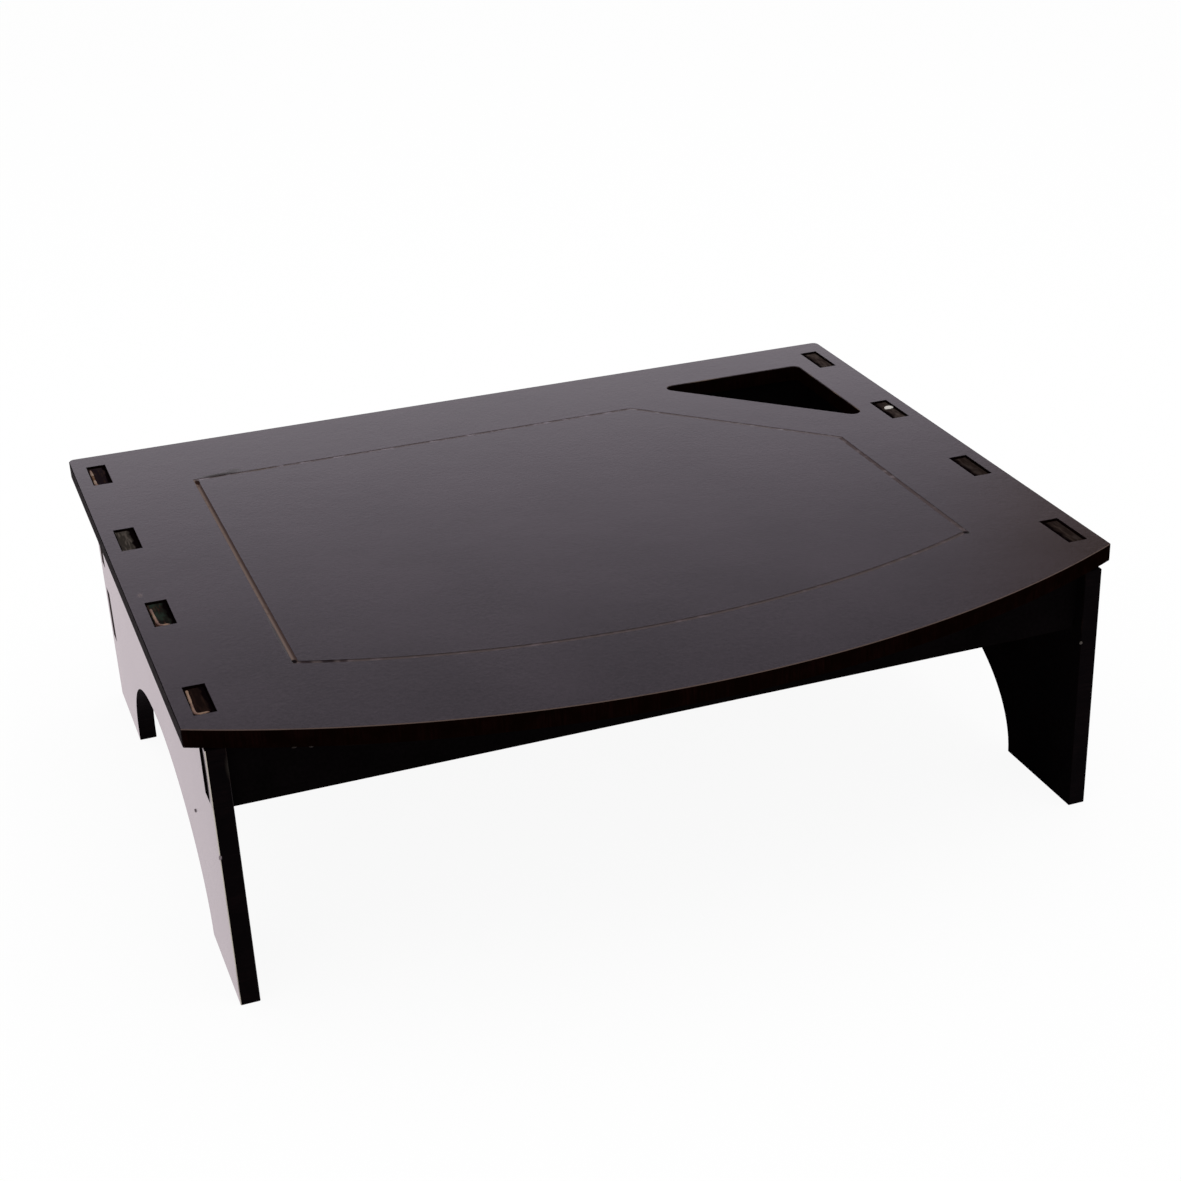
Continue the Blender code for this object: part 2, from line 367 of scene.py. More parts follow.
@dataclass(frozen=True)
class CharredEdge(Finish):
    """Edge of the hardboard as the laser left it, charred through.

    To the eye it is a dull reddish black, streaked along the thickness by the pulses of the beam.
    """

    axis: Axis = Axis.Z
    char: str = "#060304"
    ember: str = "#0c0405"
    specular: float = 0.02

    # The real striations are about 0.15 mm apart, too fine for the picture, so they are drawn 0.9 mm apart.
    STREAK_MM = 0.9
    STREAK_SHARE = 0.08
    STREAK_DEPTH_MM = 0.06
    BLOTCH_MM = 7.0
    BLOTCH_FROM = 0.35
    ROUGH = (0.75, 0.6)

    def pattern(self, tree: Tree) -> Node:
        """Builds the char: streaks along the thickness, blotches and a rough bump."""
        stretch = [1.0, 1.0, 1.0]
        stretch[self.axis.value] = self.STREAK_SHARE
        streak = self.patches(tree, self.STREAK_MM, stretch=tuple(stretch))
        blotch = self.patches(tree, self.BLOTCH_MM, self.BLOTCH_FROM, detail=3.0)
        both = reckon(tree, "MULTIPLY", streak, blotch)
        colour = blend(tree, both, self.char, self.ember)
        bump = self.bump(tree, streak, self.STREAK_DEPTH_MM, strength=0.6)
        return self.surface(tree, colour, both, self.specular, Normal=bump)


@dataclass(frozen=True)
class ToastedArris(Finish):
    """Sharp corner of a cut, where the beam has burnt the film off the brown board.

    To the eye it is a hair-thin brown line that comes and goes between stretches of film.
    """

    film: str = "#070405"
    bare: str = "#170e0c"
    bare_from: float = 0.58
    specular: float = 0.1

    ROUGH = (0.6, 0.8)
    TURN_MM = 15.0
    TURN_SOFT = 0.14

    def pattern(self, tree: Tree) -> Node:
        """Builds the arris: bare board and film in turns of about 15 mm, broken up finely."""
        turn = self.patches(tree, self.TURN_MM, self.bare_from, self.TURN_SOFT, detail=4.0)
        colour = blend(tree, turn, self.film, self.bare)
        return self.surface(tree, colour, turn, self.specular)


@dataclass(frozen=True)
class ScoredLine(Finish):
    """Groove that the beam scored through the film at low power.

    To the eye it is toasted board, tan where the beam ran fast and brown to black where it lingered. Its
    inner and outer tones are painted light and shade across the groove: one wall lit, the other in shade.
    """

    # inner and outer: painted shade and painted light on the two walls of the groove
    inner: str
    outer: str
    patch: str
    patch_from: float
    outward: Pair = (0.0, 0.0)
    middle_mm: float = 1.0

    ROUGH = (0.8, 0.9)
    TURN_MM = 5.0
    TURN_SOFT = 0.15
    SIDE_SOFT_MM = 0.35

    def pattern(self, tree: Tree) -> Node:
        """Builds the groove: an inner and an outer tone, painted shade and painted light, with patches a
        few millimetres long over both.
        """
        place, outward = self.place(tree), (*self.outward, 0.0)
        across = add_node(tree, "VectorMath", {"operation": "DOT_PRODUCT", 0: place, 1: outward})
        low, high = self.middle_mm - self.SIDE_SOFT_MM, self.middle_mm + self.SIDE_SOFT_MM
        side = ramp(tree, across.outputs["Value"], mm(low), mm(high))
        base = blend(tree, side, self.inner, self.outer)
        turn = self.patches(tree, self.TURN_MM, self.patch_from, self.TURN_SOFT, detail=4.0)
        colour = blend(tree, turn, base, self.patch)
        return self.surface(tree, colour, turn, specular=0.06)


@dataclass(frozen=True)
class BurntTabEnd(Finish):
    """End of a tab, burnt by the beam and rubbed by the fitting.

    To the eye it is brown-black hardboard, streaked along the sheet, with ash where the soot rubbed off.
    The side that lies in shade is painted black, up to a wavering line.
    """

    char: str
    brown: str
    ash: str
    brown_from: float
    ash_from: float
    # Where the painted shade begins and where it is full black, along X in millimetres.
    shade_mm: Pair
    shift: float

    ROUGH = (0.85, 0.65)
    # Black of the painted shade.
    SHADE_BLACK = "#060304"
    STREAK_MM = 0.9
    STREAK_STRETCH = (1.0, 0.12, 0.5)
    STREAK_SOFT = 0.15
    STREAK_DEPTH_MM = 0.08
    BLOTCH_MM = 5.0
    BLOTCH_STRETCH = (1.0, 0.5, 1.0)
    BLOTCH_SOFT = 0.12
    WANDER_FROM = 0.2
    WANDER_SOFT = 0.6
    WANDER_MM = 2.0
    WANDER_SHIFT = 5.0

    def pattern(self, tree: Tree) -> Node:
        """Builds the tab's end: streaks of brown and ash on char, with painted shade, black on the side in
        shade.
        """
        streak = self.patches(
            tree, self.STREAK_MM, self.brown_from, self.STREAK_SOFT,
            stretch=self.STREAK_STRETCH, shift=self.shift,
        )
        blotch = self.patches(
            tree, self.BLOTCH_MM, self.ash_from, self.BLOTCH_SOFT, detail=3.0,
            stretch=self.BLOTCH_STRETCH, shift=self.shift,
        )
        browned = blend(tree, streak, self.char, self.brown)
        ashen = blend(tree, blotch, browned, self.ash)
        parts = add_node(tree, "SeparateXYZ", {0: self.place(tree)})
        drift = self.shift + self.WANDER_SHIFT
        wave = self.patches(tree, self.BLOTCH_MM, self.WANDER_FROM, self.WANDER_SOFT, shift=drift)
        moved = reckon(tree, "MULTIPLY_ADD", wave, mm(self.WANDER_MM), parts.outputs["X"])
        lit, dark = (mm(edge + self.WANDER_MM / 2.0) for edge in self.shade_mm)
        colour = blend(tree, ramp(tree, moved, lit, dark), ashen, self.SHADE_BLACK)
        bump = self.bump(tree, streak, self.STREAK_DEPTH_MM)
        return self.surface(tree, colour, streak, specular=0.0, Normal=bump)


@dataclass(frozen=True)
class DriedGlue(Finish):
    """Wood glue that was squeezed out of a joint and dried, stained by soot.

    To the eye it is a cream bead, rosy or amber where it took up the burnt board.
    """

    cream: str = "#7e6555"
    rosy: str = "#664e47"
    amber: str = "#543922"
    rosy_from: float = 0.55
    amber_from: float = 0.62
    shift: float = 0.0

    ROUGH = (0.45, 0.65)
    STAIN_MM = 5.0
    ROSY_SOFT = 0.12
    AMBER_SOFT = 0.1
    AMBER_SHIFT = 9.0

    def pattern(self, tree: Tree) -> Node:
        """Builds the glue: cream with rosy and amber stains."""
        size, drift = self.STAIN_MM, self.shift + self.AMBER_SHIFT
        flush = self.patches(tree, size, self.rosy_from, self.ROSY_SOFT, detail=3.0, shift=self.shift)
        stain = self.patches(tree, size, self.amber_from, self.AMBER_SOFT, detail=4.0, shift=drift)
        colour = blend(tree, stain, blend(tree, flush, self.cream, self.rosy), self.amber)
        return self.surface(tree, colour, flush, specular=0.1, ior=1.46)


@dataclass
class Board:
    """One laser-cut board of the stand, dressed face by face on the node that the frame holds."""

    node_name: str
    finishes: dict[Zone, Finish]

    def zone(self, centre: Vector, normal: Vector) -> Zone:
        """Tells which zone a face belongs to, from its centre in millimetres and its normal."""
        raise NotImplementedError

    def dress(self, nodes: dict[str, bpy.types.Object]) -> bpy.types.Object:
        """Gives each face of the node the finish of its zone.

        Args:
            nodes: the frame's nodes by name.

        Returns:
            The dressed node.
        """
        node = nodes[self.node_name]
        order = list(self.finishes)
        node.data.materials.clear()
        for zone in order:
            node.data.materials.append(material_of(self.finishes[zone]))
        counts = {zone: 0 for zone in order}
        for face in node.data.polygons:
            zone = self.zone(face.center * MM_PER_METRE, face.normal)
            face.material_index = order.index(zone)
            counts[zone] += 1
        LOG.info("%s: %s", self.node_name, {zone.value: count for zone, count in counts.items()})
        return node


@dataclass
class TopBoard(Board):
    """The bowed top with its eight slots, its cable hole and its scored line."""

    bow_radius_mm: float = 449.03
    bow_centre_y_mm: float = 278.03
    bow_margin_mm: float = 1.0
    bow_before_y_mm: float = -100.0
    line_height_mm: Pair = (124.15, 124.48)
    line_reach_mm: float = 1.3
    line_left_mm: float = -147.9
    line_right_mm: float = 150.1
    line_back_mm: float = 118.9
    line_front_radius_mm: float = 394.53
    cut_corner: Triple = (0.71992, 0.69406, 134.64)
    outer_x_mm: float = 199.5
    rear_y_mm: float = 170.5
    hole_x_mm: Pair = (50.0, 184.0)

    def zone(self, centre: Vector, normal: Vector) -> Zone:
        """Tells the zone of a face of the top board."""
        low, high = self.line_height_mm
        if low < centre.z < high and min(self.distances(centre).values()) < self.line_reach_mm:
            if abs(normal.z) < SLANT or normal.z > SQUARE:
                return self.line_side(centre)
        if normal.z > SQUARE:
            return Zone.FILM
        if normal.z < -SQUARE:
            return Zone.BACK
        if abs(normal.z) > SLANT:
            if normal.z < 0.0:
                return Zone.ARRIS
            off_bow = abs(self.from_bow(centre) - self.bow_radius_mm)
            if off_bow < self.bow_margin_mm and centre.y < self.bow_before_y_mm:
                return Zone.FRONT_ARRIS
            holed = self.hole_x_mm[0] < centre.x < self.hole_x_mm[1] and 0.0 < centre.y < self.rear_y_mm
            return Zone.HOLE_ARRIS if holed else Zone.ARRIS
        outer = abs(centre.x) > self.outer_x_mm or centre.y > self.rear_y_mm
        return Zone.EDGE if outer else Zone.INNER_CUT

    def from_bow(self, centre: Vector) -> float:
        """Distance of a face from the middle of the bow's circle, in millimetres."""
        return math.hypot(centre.x, centre.y - self.bow_centre_y_mm)

    def distances(self, centre: Vector) -> dict[Zone, float]:
        """How far a face lies from each side of the scored outline, in millimetres."""
        slope_x, slope_y, level = self.cut_corner
        return {
            Zone.LINE_LEFT: abs(centre.x - self.line_left_mm),
            Zone.LINE_RIGHT: abs(centre.x - self.line_right_mm),
            Zone.LINE_BACK: abs(centre.y - self.line_back_mm),
            Zone.LINE_FRONT: abs(self.from_bow(centre) - self.line_front_radius_mm),
            Zone.LINE_CORNER: abs(centre.x * slope_x + centre.y * slope_y - level),
        }

    def line_side(self, centre: Vector) -> Zone:
        """Tells which side of the scored outline a face of the groove lies on."""
        distances = self.distances(centre)
        return min(distances, key=distances.get)


@dataclass
class SidePanel(Board):
    """One upright side with its arch, tabs, notch and mortises."""

    outward: float = -1.0
    front_zone_mm: float = -128.89
    forward: float = 0.5

    def zone(self, centre: Vector, normal: Vector) -> Zone:
        """Tells the zone of a face of the side panel."""
        if normal.x * self.outward > SQUARE:
            return Zone.FILM
        if normal.x * self.outward < -SQUARE:
            return Zone.BACK
        if abs(normal.x) > SLANT:
            if centre.y > self.front_zone_mm or normal.y > -self.forward:
                return Zone.ARRIS
            return Zone.FRONT_ARRIS if normal.x * self.outward > 0.0 else Zone.INNER_FRONT_ARRIS
        return Zone.EDGE


@dataclass
class Crosspiece(Board):
    """A strip on edge that joins the sides: the front rail or the rear panel.

    Its film, where it has one, faces the way that outward says along Y.
    """

    outward: float = 0.0
    tab_end_mm: float = 190.0

    def zone(self, centre: Vector, normal: Vector) -> Zone:
        """Tells the zone of a face of the crosspiece."""
        if normal.y * self.outward > SQUARE:
            return Zone.FILM
        if abs(normal.y) > SQUARE:
            return Zone.BACK
        if abs(normal.y) > SLANT:
            return Zone.ARRIS
        at_end = abs(centre.x) > self.tab_end_mm and abs(normal.x) > SQUARE
        return Zone.TAB_END if at_end else Zone.EDGE


def waver(across: float, along: float, seed: float) -> float:
    """Smooth noise, from about -1 to 1, at a place on a plane that the seed picks."""
    return noise.noise(Vector((across, along, seed)))


def add_piece(
    name: str, work: bmesh.types.BMesh, finish: Finish, smooth: bool = True
) -> bpy.types.Object:
    """Turns a mesh in millimetres into a piece that rides on the stand, and reports it.

    Args:
        name: the piece's name.
        work: the mesh, which is used up.
        finish: its finish.
        smooth: whether its faces are shaded smooth.

    Returns:
        The new piece.
    """
    bmesh.ops.scale(work, vec=mm(1.0, 1.0, 1.0), verts=work.verts)
    bmesh.ops.recalc_face_normals(work, faces=work.faces)
    mesh = bpy.data.meshes.new(name)
    work.to_mesh(mesh)
    work.free()
    if smooth:
        mesh.shade_smooth()
        mesh.set_sharp_from_angle(angle=math.radians(SHARP_FROM_DEGREES))
    mesh.materials.append(material_of(finish))
    piece = placed(name, mesh)
    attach(piece, BODY)
    LOG.info("%s: %d faces", name, len(mesh.polygons))
    return piece


@dataclass(frozen=True)
class Bead:
    """A bead of squeezed-out glue along part of a tab's rim.

    The route is given from the middle of the slot, in millimetres.
    """

    route_mm: tuple[Pair, ...]
    half_width_mm: float
    height_mm: float
    finish: DriedGlue
    seed: float = 0.0

    BASE_MM = 123.4
    STEP_MM = 0.5
    SIDES = 10
    CORNER_CUTS = 3
    CUT_SHARES = (0.25, 0.75)
    WIDTH_PACE = 0.22
    HEIGHT_PACE = 0.3
    PLAY = (0.3, 0.25)
    HEIGHT_SHARE = 0.85
    HEIGHT_SEED = 7.0
    END_STEPS = 0.3
    TAPER_STEPS = 2.5

    def walk(self) -> list[Vector]:
        """Rounds the route's corners and steps along it evenly."""
        points = [Vector(point) for point in self.route_mm]
        for _ in range(self.CORNER_CUTS):
            cut = [points[0]]
            for start, end in zip(points, points[1:]):
                cut += [start.lerp(end, share) for share in self.CUT_SHARES]
            points = cut + [points[-1]]
        steps = [points[0]]
        left = self.STEP_MM
        for start, end in zip(points, points[1:]):
            length = (end - start).length
            at = left
            while at <= length:
                steps.append(start.lerp(end, at / length))
                at += self.STEP_MM
            left = at - length
        return steps

    def mesh(self, middle: Vector) -> bmesh.types.BMesh:
        """Builds the bead round the slot's middle, lumpy and thin at its ends.

        Args:
            middle: the slot's middle, in millimetres.

        Returns:
            The closed bead, in millimetres.
        """
        work = bmesh.new()
        steps = self.walk()
        rings = []
        for index, point in enumerate(steps):
            ahead = steps[min(index + 1, len(steps) - 1)] - steps[max(index - 1, 0)]
            across = Vector((ahead.y, -ahead.x)).normalized()
            from_end = min(index, len(steps) - 1 - index) + self.END_STEPS
            taper = min(1.0, math.sqrt(from_end / self.TAPER_STEPS))
            swell = 1.0 + self.PLAY[0] * waver(index * self.WIDTH_PACE, self.seed, 0.0)
            wave = waver(index * self.HEIGHT_PACE, self.seed, self.HEIGHT_SEED)
            width = self.half_width_mm * swell * taper
            height = self.height_mm * (self.HEIGHT_SHARE + self.PLAY[1] * wave) * taper
            ring = []
            for side in range(self.SIDES):
                angle = math.pi * side / (self.SIDES - 1)
                spot = middle + point + across * width * math.cos(angle)
                ring.append(work.verts.new((spot.x, spot.y, self.BASE_MM + height * math.sin(angle))))
            rings.append(ring)
        for near, far in zip(rings, rings[1:]):
            for side in range(self.SIDES):
                after = (side + 1) % self.SIDES
                work.faces.new((near[side], near[after], far[after], far[side]))
        work.faces.new(rings[0])
        work.faces.new(rings[-1])
        return work


@dataclass(frozen=True)
class Flake:
    """A pale lump that lies on a tab.

    The corners are given from the slot's middle, in millimetres.
    """

    corners_mm: tuple[Pair, ...]
    lift_mm: float
    finish: DriedGlue

    BASE_MM = 123.6
    LAYERS = ((0.9, 0.0), (1.0, 0.5), (0.78, 1.0))
    PEAK_SHARE = 1.12
    TILT = (0.04, -0.03)
    LOWEST_TILT_MM = -0.1

    def mesh(self, middle: Vector) -> bmesh.types.BMesh:
        """Builds the flake round the slot's middle: a tilted lens with a ragged rim.

        Args:
            middle: the slot's middle, in millimetres.

        Returns:
            The closed flake, in millimetres.
        """
        work = bmesh.new()
        corners = [Vector(corner) for corner in self.corners_mm]
        centre = sum(corners, Vector((0.0, 0.0))) / len(corners)
        layers = []
        for share, rise in self.LAYERS:
            layer = []
            for corner in corners:
                out = corner - centre
                spot = middle + centre + out * share
                tilt = max(out.dot(Vector(self.TILT)), self.LOWEST_TILT_MM)
                layer.append(work.verts.new((spot.x, spot.y, self.BASE_MM + self.lift_mm * rise + tilt)))
            layers.append(layer)
        count = len(corners)
        for low, high in zip(layers, layers[1:]):
            for index in range(count):
                after = (index + 1) % count
                work.faces.new((low[index], low[after], high[after], high[index]))
        work.faces.new(layers[0])
        peak = work.verts.new((*(middle + centre), self.BASE_MM + self.lift_mm * self.PEAK_SHARE))
        for index in range(count):
            work.faces.new((layers[-1][index], layers[-1][(index + 1) % count], peak))
        return work


@dataclass
class TabEnd:
    """What the beam and the glue left on the end of one tab, down in its slot."""

    name: str
    middle_mm: Pair
    finish: BurntTabEnd
    bead: Bead | None = None
    flake: Flake | None = None
    seed: float = 0.0

    half_width_mm: float = 3.95
    half_length_mm: float = 11.85
    end_mm: float = 123.5
    base_mm: float = 123.3
    columns: int = 19
    rows: int = 53
    crust_mm: float = 0.2
    least_mm: float = 0.02
    streak_lump_pit_paces: tuple[Pair, ...] = ((1.3, 0.18), (0.5, 0.38), (1.1, 1.1))
    seed_step: float = 40.0
    relief_mm: float = 0.14
    pit_mm: float = 0.1
    side_rim_mm: float = 0.5
    end_rim_mm: float = 0.7

    def height(self, u: float, v: float) -> float:
        """How far the crust stands above the tab's end at a place on it, all in millimetres."""
        streak, lump, pit = (
            waver(u * across, v * along, self.seed + index * self.seed_step)
            for index, (across, along) in enumerate(self.streak_lump_pit_paces)
        )
        rise = self.crust_mm + self.relief_mm * (streak + lump) - self.pit_mm * max(pit, 0.0)
        off_side = (self.half_width_mm - abs(u)) / self.side_rim_mm
        off_end = (self.half_length_mm - abs(v)) / self.end_rim_mm
        return max(rise, self.least_mm) * max(min(off_side, off_end, 1.0), 0.0)

    def crust(self) -> bmesh.types.BMesh:
        """Builds the burnt crust over the tab's end, a closed sheet with streaks, lumps and pits."""
        work = bmesh.new()
        grid = []
        for row in range(self.rows):
            v = self.half_length_mm * (2.0 * row / (self.rows - 1) - 1.0)
            line = []
            for column in range(self.columns):
                u = self.half_width_mm * (2.0 * column / (self.columns - 1) - 1.0)
                spot = (self.middle_mm[0] + u, self.middle_mm[1] + v, self.end_mm + self.height(u, v))
                line.append(work.verts.new(spot))
            grid.append(line)
        for near, far in zip(grid, grid[1:]):
            for column in range(self.columns - 1):
                work.faces.new((near[column], near[column + 1], far[column + 1], far[column]))
        sides = [line[-1] for line in grid[1:]], [line[0] for line in grid[-2:0:-1]]
        rim = [*grid[0], *sides[0], *grid[-1][-2::-1], *sides[1]]
        foot = [work.verts.new((vert.co.x, vert.co.y, self.base_mm)) for vert in rim]
        for index in range(len(rim)):
            after = (index + 1) % len(rim)
            work.faces.new((rim[after], rim[index], foot[index], foot[after]))
        work.faces.new(foot)
        return work

    def build(self) -> list[bpy.types.Object]:
        """Builds the crust and what lies on it."""
        middle = Vector(self.middle_mm)
        pieces = [add_piece("tab_end_" + self.name, self.crust(), self.finish)]
        if self.bead:
            pieces.append(add_piece("glue_bead_" + self.name, self.bead.mesh(middle), self.bead.finish))
        if self.flake:
            flake = self.flake.mesh(middle)
            pieces.append(add_piece("pale_lump_" + self.name, flake, self.flake.finish, smooth=False))
        return pieces


@dataclass
class SlottedTabs:
    """The eight tab ends that show in the board's slots, four on each side from front to back."""

    middle_x_mm: float = 189.0
    middles_y_mm: tuple[float, ...] = (-102.99, -20.33, 62.34, 145.0)
    glue: DriedGlue = DriedGlue("dried_cream_glue")
    seed_step: float = 3.7
    right_seed: float = 20.0

    def left(self) -> list[TabEnd]:
        """Lists the left tab ends, most of them rimmed with glue along the outer side."""
        rosy = DriedGlue("dried_rosy_glue", rosy_from=0.4, shift=3.0)
        amber = DriedGlue("dried_amber_glue", "#7d6859", amber_from=0.5, rosy_from=0.5, shift=6.0)
        whole = Bead(
            ((-2.9, 11.0), (-3.1, 4.0), (-3.3, -3.0), (-3.5, -9.2), (-2.2, -10.4), (0.0, -10.3),
             (2.4, -10.1)),
            0.66, 0.85, self.glue, 1.5,
        )
        half = Bead(
            ((-3.1, 7.5), (-2.9, 1.0), (-2.8, -5.0), (-2.4, -9.8), (0.0, -10.5), (2.4, -10.5)),
            0.64, 0.85, rosy, 4.5,
        )
        straight = Bead(
            ((-3.0, 9.5), (-2.9, 4.0), (-3.0, -4.0), (-3.0, -10.2), (-1.9, -11.3)), 0.68, 0.8, amber, 8.5
        )
        # Columns: tone, char, brown, ash, where brown begins, where ash begins, the painted shade's start
        # and full black along X in mm, shift.
        tones = (
            ("red", "#120b0a", "#1c120f", "#1c1c1b", 0.5, 0.62, (-187.2, -186.4), 1.0),
            ("green", "#141311", "#2f1c17", "#1d241f", 0.5, 0.5, (-187.2, -186.0), 2.0),
            ("grey", "#292522", "#403a36", "#4f4742", 0.45, 0.58, (-187.9, -186.9), 3.0),
            ("violet", "#161013", "#2a1e17", "#1b1517", 0.55, 0.5, (-186.4, -185.9), 4.0),
        )
        looks = [BurntTabEnd("burnt_tab_end_" + tone, *values) for tone, *values in tones]
        beads = (whole, half, None, straight)
        return [
            TabEnd(f"left_{index + 1}", (-self.middle_x_mm, y), look, bead, seed=index * self.seed_step)
            for index, (y, look, bead) in enumerate(zip(self.middles_y_mm, looks, beads))
        ]

    def right(self) -> list[TabEnd]:
        """Lists the right tab ends, browner, with a pale flake on the third."""
        # The painted shade on the right tab ends: its start and full black along X in mm.
        shade = (188.2, 186.6)
        brown = BurntTabEnd("burnt_tab_end_brown", "#1c1513", "#2c2421", "#2b2422", 0.5, 0.55, shade, 5.0)
        ashen = BurntTabEnd("burnt_tab_end_ashen", "#231c1b", "#352d2a", "#3b3330", 0.45, 0.5, shade, 6.0)
        # A pale finish for the lump, made with the glue's pattern.
        pale = DriedGlue("pale_flake", "#b6b2ad", "#aaa49d", "#9b9288", 0.6, 0.7, 7.0)
        corners = ((-1.1, 2.2), (-0.5, 4.6), (1.2, 6.0), (3.0, 5.5), (3.9, 3.5), (3.2, 1.9), (1.2, 1.4))
        flake = Flake(corners, 0.6, pale)
        looks = ((brown, None), (brown, None), (ashen, flake), (ashen, None))
        return [
            TabEnd(
                f"right_{index + 1}", (self.middle_x_mm, y), look, flake=chip,
                seed=self.right_seed + index * self.seed_step,
            )
            for index, (y, (look, chip)) in enumerate(zip(self.middles_y_mm, looks))
        ]

    def build(self) -> list[bpy.types.Object]:
        """Builds all eight tab ends with their glue and flake."""
        return [piece for end in (*self.left(), *self.right()) for piece in end.build()]


@dataclass(frozen=True)
class Speck:
    """One crumb of soot, glue or torn film, stuck to a board."""

    name: str
    centre_mm: Triple
    reach_mm: Triple
    finish: Finish

    LUMP_SHARE = 0.25
    LUMP_PACE = 1.7

    def build(self) -> bpy.types.Object:
        """Builds the speck as a lumpy ball."""
        work = bmesh.new()
        bmesh.ops.create_icosphere(work, subdivisions=3, radius=1.0)
        seed = Vector(self.centre_mm)
        for vert in work.verts:
            swell = 1.0 + self.LUMP_SHARE * noise.noise(vert.co * self.LUMP_PACE + seed)
            vert.co = Vector(
                middle + reach * along * swell
                for middle, reach, along in zip(self.centre_mm, self.reach_mm, vert.co)
            )
        return add_piece("speck_" + self.name, work, self.finish)


@dataclass
class Specks:
    """The few crumbs that the photograph shows on the stand."""

    pale: DriedGlue = DriedGlue("pale_crumb", "#7a6f74", "#74696d", "#6a5f60")
    dull: DriedGlue = DriedGlue("dull_crumb", "#48433f", "#403a36", "#38312d")
    dark: DriedGlue = DriedGlue("dark_crumb", "#1c1613", "#1a1210", "#17100d")

    def build(self) -> list[bpy.types.Object]:
        """Builds every speck."""
        specks = (
            Speck("left_face", (-193.1, -74.6, 60.3), (0.4, 0.9, 0.7), self.pale),
            Speck("left_arris", (-192.8, -129.2, 69.4), (0.6, 0.5, 1.0), self.pale),
            Speck("right_leg", (185.2, -129.25, 82.3), (0.7, 0.4, 0.7), self.dull),
            Speck("board_left_1", (-161.6, -140.8, 116.75), (1.1, 0.5, 0.3), self.dark),
            Speck("board_left_2", (-155.7, -143.0, 116.8), (0.9, 0.5, 0.3), self.dark),
        )
        return [speck.build() for speck in specks]


@dataclass
class Studio:
    """A white floor and soft, even light around the stand."""

    floor_half: float = 12.0
    floor_drop_mm: float = 0.2
    floor_colour: str = "#f2f2f2"
    floor_glow: float = 0.93
    floor_mirrored: str = "#fff2f8"
    wall_foot: float = 0.36
    wall_fall: float = 3.0
    wall_level: float = 0.0484
    wall_tone: Linear = (0.98, 0.877, 1.0, 1.0)
    low_tone: Linear = (1.0, 0.96, 0.98, 1.0)
    wall_tone_from: Pair = (0.29, 0.37)
    flag_towards: Triple = (0.646, 0.646, 0.407)
    flag_rim: Pair = (0.968, 0.983)
    flag_tone: Linear = (0.44, 0.275, 0.165, 1.0)
    ceiling: float = 0.0225
    fill: float = 0.85
    lamp_power: float = 12.0
    lamp_side: float = 1.8
    lamp_height: float = 1.7

    def floor(self) -> bpy.types.Object:
        """Builds the floor, a pale sheet that keeps part of the stand's shadow."""
        mesh = bpy.data.meshes.new("studio_floor")
        half, drop = self.floor_half, -mm(self.floor_drop_mm)
        corners = [(-half, -half, drop), (half, -half, drop), (half, half, drop), (-half, half, drop)]
        mesh.from_pydata(corners, [], [(0, 1, 2, 3)])
        plane = placed("studio_floor", mesh)
        made = bpy.data.materials.new("white_paper_sweep")
        tree = cleared(made)
        path = add_node(tree, "LightPath")
        glossy, through = path.outputs["Is Glossy Ray"], path.outputs["Is Transmission Ray"]
        paper = add_node(tree, "BsdfDiffuse", {"Color": linear(self.floor_colour)})
        seen_as = blend(tree, glossy, "#ffffff", self.floor_mirrored)
        white = add_node(tree, "Emission", {"Strength": 1.0, "Color": seen_as})
        either = reckon(tree, "MAXIMUM", glossy, through)
        share = mix_levels(tree, path.outputs["Is Camera Ray"], either, self.floor_glow)
        sweep = add_node(tree, "MixShader", {0: share, 1: paper, 2: white})
        add_node(tree, "OutputMaterial", {"Surface": sweep})
        mesh.materials.append(made)
        return plane

    def world(self) -> bpy.types.World:
        """Builds the surroundings: pale low walls, darker upwards and at one flag, white to the camera."""
        world = bpy.data.worlds.new("studio_walls")
        bpy.context.scene.world = world
        tree = cleared(world)
        sky = add_node(tree, "TexCoord")
        parts = add_node(tree, "SeparateXYZ", {0: sky})
        across, ahead = (reckon(tree, "ABSOLUTE", parts.outputs[axis]) for axis in "XY")
        height = reckon(tree, "DIVIDE", parts.outputs["Z"], reckon(tree, "MAXIMUM", across, ahead))
        wall = reckon(tree, "MAXIMUM", height, self.wall_foot)
        fall = reckon(tree, "POWER", wall, -self.wall_fall)
        level = reckon(tree, "MULTIPLY_ADD", fall, self.wall_level, self.ceiling)
        path = add_node(tree, "LightPath")
        mirrored = mix_levels(tree, path.outputs["Is Glossy Ray"], self.fill, level)
        strength = mix_levels(tree, path.outputs["Is Camera Ray"], mirrored, 1.0)
        towards = add_node(
            tree, "VectorMath", {"operation": "DOT_PRODUCT", 0: sky, 1: self.flag_towards}
        )
        flag = ramp(tree, towards.outputs["Value"], *self.flag_rim)
        raised = ramp(tree, height, *self.wall_tone_from)
        by_height = blend(tree, raised, self.low_tone, self.wall_tone)
        flagged = blend(tree, flag, by_height, self.flag_tone)
        tone = blend(tree, path.outputs["Is Glossy Ray"], "#ffffff", flagged)
        glow = add_node(tree, "Background", {"Color": tone, "Strength": strength})
        add_node(tree, "OutputWorld", {"Surface": glow})
        return world

    def lamp(self) -> bpy.types.Object:
        """Hangs one large soft lamp over the stand."""
        light = bpy.data.lights.new("overhead_softbox", "AREA")
        light.shape = "SQUARE"
        light.size = self.lamp_side
        light.energy = self.lamp_power
        holder = placed("overhead_softbox", light)
        holder.location = (0.0, 0.0, self.lamp_height)
        return holder

    def build(self) -> None:
        """Builds floor, surroundings and lamp."""
        for piece in (self.floor(), self.world(), self.lamp()):
            LOG.info("studio: %s", piece.name)


